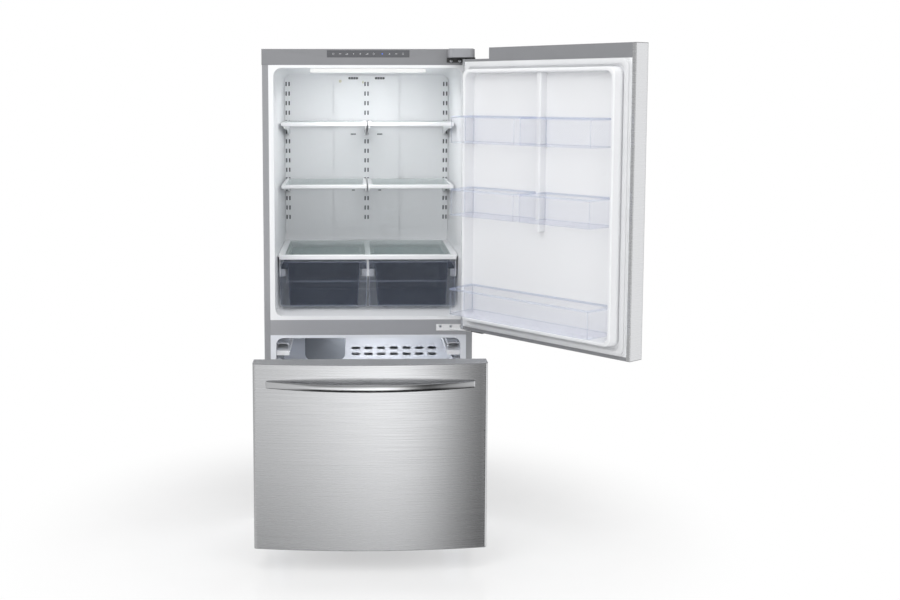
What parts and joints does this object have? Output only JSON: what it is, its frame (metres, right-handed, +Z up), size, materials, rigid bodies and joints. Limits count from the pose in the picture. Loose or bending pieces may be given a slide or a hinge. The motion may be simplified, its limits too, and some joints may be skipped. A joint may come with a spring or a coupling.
{
  "type": "bottom freezer refrigerator",
  "caption": "Bottom-freezer refrigerator: bowed brushed-steel fridge door standing open on clear bins, glass shelves, crispers and a pulled-out freezer drawer with a bowed bar handle.",
  "frame": {"origin": "on the floor, in the middle of the cabinet's width and of its depth without the doors", "axes": "+Z up, +X to the viewer's right (the hinge side), +Y from the front into the cabinet"},
  "size_m": [1.2624, 1.3989, 1.7],
  "materials": {
    "black_moulding": "matte",
    "black_steel": "painted",
    "brushed_front": "brushed along the length",
    "cabinet_grey": "satin",
    "clear_bin": "clear",
    "coil_metal": "mill finish",
    "dark_strip": "smooth",
    "galvanised": "galvanised",
    "grey_moulding": "satin",
    "insulation": "closed-cell foam",
    "lamp_diffuser": "frosted",
    "polished_bar": "polished",
    "seal_rubber": "soft",
    "shelf_glass": "clear",
    "smoked_cover": "smoked",
    "wheel_plastic": "matte",
    "white_liner": "smooth",
    "white_moulding": "smooth",
    "zinc_steel": "zinc plated"
  },
  "bodies": {
    "cabinet": {"outer_cabinet": "cabinet_grey", "top_front_cap": "grey_moulding", "control_panel": "dark_strip", "fridge_liner": "white_liner", "freezer_liner": "white_liner", "side_foam": "insulation", "cross_foam": "insulation", "back_foam": "insulation", "back_panel": "galvanised", "mullion_rail": "cabinet_grey", "middle_hinge_bracket": "zinc_steel", "top_hinge_plate": "black_steel", "top_hinge_cover": "grey_moulding", "hinge_screws": "zinc_steel", "air_duct_panel": "white_moulding", "ladder_tracks": "white_moulding", "lamp_lens": "lamp_diffuser", "upper_shelf_frames": "white_moulding", "lower_shelf_frames": "white_moulding", "shelf_glass": "shelf_glass", "crisper_cover_frame": "white_moulding", "evaporator_cover": "white_moulding", "evaporator_coil": "coil_metal", "fan_motors": "black_moulding", "ice_maker": "white_moulding", "ice_maker_cover": "smoked_cover", "tray_ledges": "white_moulding", "slide_outer_members": "zinc_steel", "compressor": "black_steel", "condenser": "black_steel", "drain_pan": "black_moulding", "base_frame": "galvanised", "machine_cover": "galvanised", "toe_grille": "grey_moulding", "levelling_feet": "black_moulding"},
    "fridge_door": {"fridge_door_skin": "brushed_front", "fridge_door_caps": "grey_moulding", "fridge_door_foam": "insulation", "fridge_door_liner": "white_liner", "fridge_door_gasket": "seal_rubber", "fridge_handle": "polished_bar", "door_stop": "black_moulding", "door_bin_bottom": "clear_bin", "door_bins_upper": "clear_bin"},
    "freezer_drawer": {"slide_inner_members": "zinc_steel", "freezer_basket": "white_moulding", "freezer_door_skin": "brushed_front", "freezer_door_caps": "grey_moulding", "freezer_door_foam": "insulation", "freezer_door_liner": "white_liner", "freezer_door_gasket": "seal_rubber", "freezer_handle": "polished_bar"},
    "drawer_slides": {"slide_middle_members": "zinc_steel"},
    "freezer_tray": {"freezer_upper_tray": "clear_bin"},
    "left_crisper": {"crisper_left": "clear_bin"},
    "right_crisper": {"crisper_right": "clear_bin"},
    "evaporator_fan": {"evaporator_fan_blade": "white_moulding"},
    "condenser_fan": {"condenser_fan_blade": "black_moulding"},
    "left_roller": {"roller_left": "wheel_plastic"},
    "right_roller": {"roller_right": "wheel_plastic"}
  },
  "joints": [
    {"name": "fridge_door_hinge", "type": "hinge", "parent": "cabinet", "child": "fridge_door", "pos_m": [0.3645, -0.404, 1.2], "axis": [0, 0, 1], "range_deg": [-130, 5]},
    {"name": "freezer_drawer_slide", "type": "slide", "parent": "cabinet", "child": "freezer_drawer", "axis": [0, -1, 0], "range_m": [-0.48, 0]},
    {"name": "middle_slide", "type": "slide", "parent": "cabinet", "child": "drawer_slides", "axis": [0, -1, 0], "range_m": [-0.24, 0]},
    {"name": "upper_tray_slide", "type": "slide", "parent": "freezer_drawer", "child": "freezer_tray", "axis": [0, 1, 0], "range_m": [0, 0.18]},
    {"name": "crisper_left_slide", "type": "slide", "parent": "cabinet", "child": "left_crisper", "axis": [0, -1, 0], "range_m": [0, 0.25]},
    {"name": "crisper_right_slide", "type": "slide", "parent": "cabinet", "child": "right_crisper", "axis": [0, -1, 0], "range_m": [0, 0.25]},
    {"name": "evaporator_fan_spin", "type": "hinge", "parent": "cabinet", "child": "evaporator_fan", "pos_m": [0.12, 0.19, 0.572], "axis": [0, -1, 0], "continuous": true},
    {"name": "condenser_fan_spin", "type": "hinge", "parent": "cabinet", "child": "condenser_fan", "pos_m": [0.04, 0.248, 0.14], "axis": [1, 0, 0], "continuous": true},
    {"name": "left_roller_spin", "type": "hinge", "parent": "cabinet", "child": "left_roller", "pos_m": [-0.33, 0.288, 0.02], "axis": [1, 0, 0], "continuous": true},
    {"name": "right_roller_spin", "type": "hinge", "parent": "cabinet", "child": "right_roller", "pos_m": [0.33, 0.288, 0.02], "axis": [1, 0, 0], "continuous": true}
  ],
  "couplings": [
    {"joint": "middle_slide", "follows": "freezer_drawer_slide", "ratio": 0.5}
  ]
}
